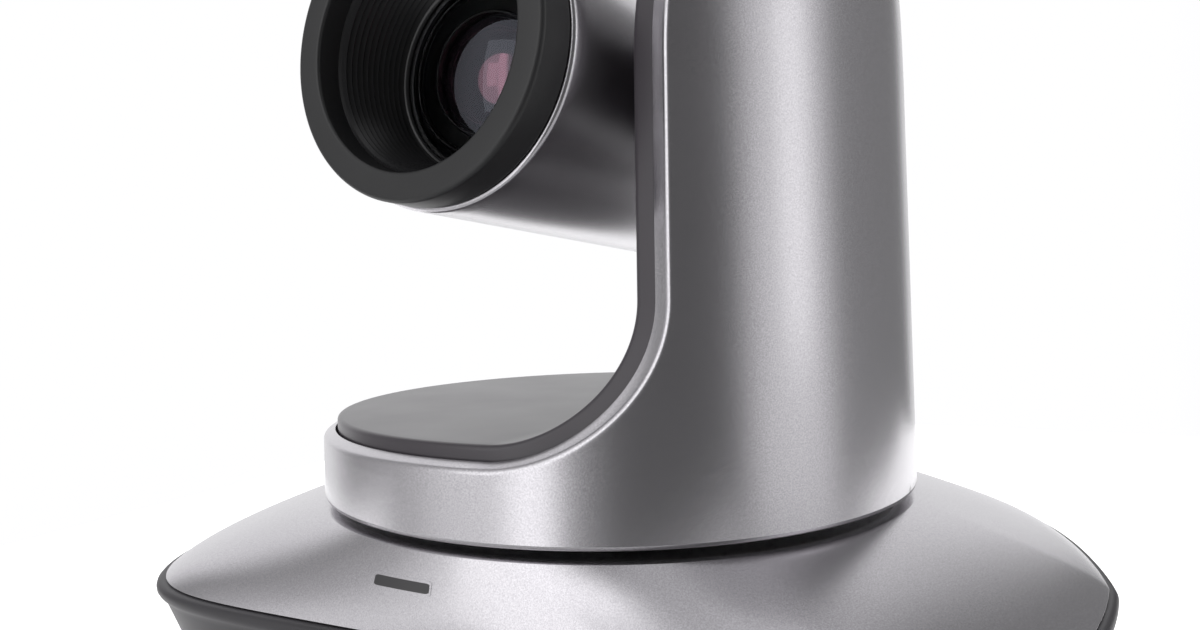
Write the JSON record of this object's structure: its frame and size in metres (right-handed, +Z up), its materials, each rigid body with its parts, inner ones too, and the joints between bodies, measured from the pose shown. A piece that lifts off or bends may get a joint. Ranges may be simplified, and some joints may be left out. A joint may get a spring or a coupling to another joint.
{
  "type": "ptz camera",
  "caption": "Desktop pan-tilt-zoom camera: a flared base with rear sockets, a turntable with a single side arm, and a short lens head that tilts on the arm",
  "frame": {"origin": "on the surface the camera stands on, under the middle of the base", "axes": "+Z up; the base's front is -Y and its sockets are +Y; the arm is on the +X side. At rest the turntable is turned 5 degrees clockwise, seen from above, and the lens looks 4 degrees up"},
  "size_m": [0.1606, 0.1118, 0.1422],
  "materials": {
    "silver_paint": "satin silver paint with a fine metallic fleck",
    "dark_plastic": "dark grey moulded plastic, satin",
    "liner_plastic": "dark grey moulded plastic, smooth satin",
    "black_plastic": "black moulded plastic, matte",
    "black_paint": "black painted steel sheet",
    "rubber": "black rubber",
    "steel": "plain machined steel",
    "brass": "turned brass",
    "gear_plastic": "natural acetal plastic",
    "circuit_board": "green solder mask",
    "lens_glass": "coated optical glass",
    "window_plastic": "smoked translucent plastic"
  },
  "bodies": {
    "base": {"base_cover": "silver_paint", "base_tub": "dark_plastic", "bottom_plate": "black_paint", "foot_1": "rubber", "foot_2": "rubber", "foot_3": "rubber", "foot_4": "rubber", "plate_screw_1": "steel", "plate_screw_2": "steel", "plate_screw_3": "steel", "plate_screw_4": "steel", "tripod_bush": "brass", "front_window": "window_plastic", "rear_panel": "dark_plastic", "main_board": "circuit_board", "dc_socket": "black_plastic", "lan_socket": "black_plastic", "hdmi_socket": "black_plastic", "usb_socket": "black_plastic", "serial_socket": "black_plastic", "audio_socket": "black_plastic", "pan_bearing": "steel", "pan_motor": "steel"},
    "turret": {"turret_shell": "silver_paint", "inner_liner": "liner_plastic", "turret_plate": "steel", "turret_screw_1": "steel", "turret_screw_2": "steel", "turret_screw_3": "steel", "pan_shaft": "steel", "pan_gear": "gear_plastic", "tilt_bracket": "steel", "tilt_bearing": "steel", "tilt_motor": "steel"},
    "head": {"head_shell": "silver_paint", "rear_cap": "dark_plastic", "lens_hood": "black_plastic", "lens_tube": "black_plastic", "front_lens": "lens_glass", "tilt_hub": "dark_plastic", "tilt_shaft": "steel", "tilt_gear": "gear_plastic", "lens_rail_1": "steel", "lens_rail_2": "steel", "rear_lens_mount": "black_plastic", "rear_lens": "lens_glass", "sensor_board": "circuit_board", "image_sensor": "window_plastic"},
    "pan_drive": {"pan_pinion": "brass"},
    "tilt_drive": {"tilt_pinion": "brass"},
    "zoom_group": {"zoom_carriage": "black_plastic", "zoom_lens": "lens_glass"},
    "focus_group": {"focus_carriage": "black_plastic", "focus_lens": "lens_glass"},
    "dial": {"address_dial": "gear_plastic"}
  },
  "joints": [
    {"name": "pan", "type": "hinge", "parent": "base", "child": "turret", "pos_m": [0, 0, 0.0371], "axis": [0, 0, 1], "range_deg": [-165, 175]},
    {"name": "pan_pinion_spin", "type": "hinge", "parent": "base", "child": "pan_drive", "pos_m": [0.03015, 0, 0.029], "axis": [0, 0, 1], "range_deg": [-720, 720]},
    {"name": "head_tilt", "type": "hinge", "parent": "turret", "child": "head", "pos_m": [0, 0, 0.1003], "axis": [-0.9962, 0.0872, 0], "range_deg": [-34, 86]},
    {"name": "tilt_pinion_spin", "type": "hinge", "parent": "turret", "child": "tilt_drive", "pos_m": [0.03387, -0.00296, 0.07615], "axis": [-0.9962, 0.0872, 0], "range_deg": [-270, 270]},
    {"name": "zoom", "type": "slide", "parent": "head", "child": "zoom_group", "axis": [-0.0869, -0.9938, 0.0698], "range_m": [-0.007, 0.009]},
    {"name": "focus", "type": "slide", "parent": "head", "child": "focus_group", "axis": [-0.0869, -0.9938, 0.0698], "range_m": [-0.005, 0.003]},
    {"name": "address_dial_turn", "type": "hinge", "parent": "base", "child": "dial", "pos_m": [0.0164, 0.0467, 0.0139], "axis": [0, 1, 0], "range_deg": [0, 324]}
  ],
  "couplings": [
    {"joint": "pan_pinion_spin", "follows": "pan", "ratio": -4},
    {"joint": "tilt_pinion_spin", "follows": "head_tilt", "ratio": -3}
  ]
}
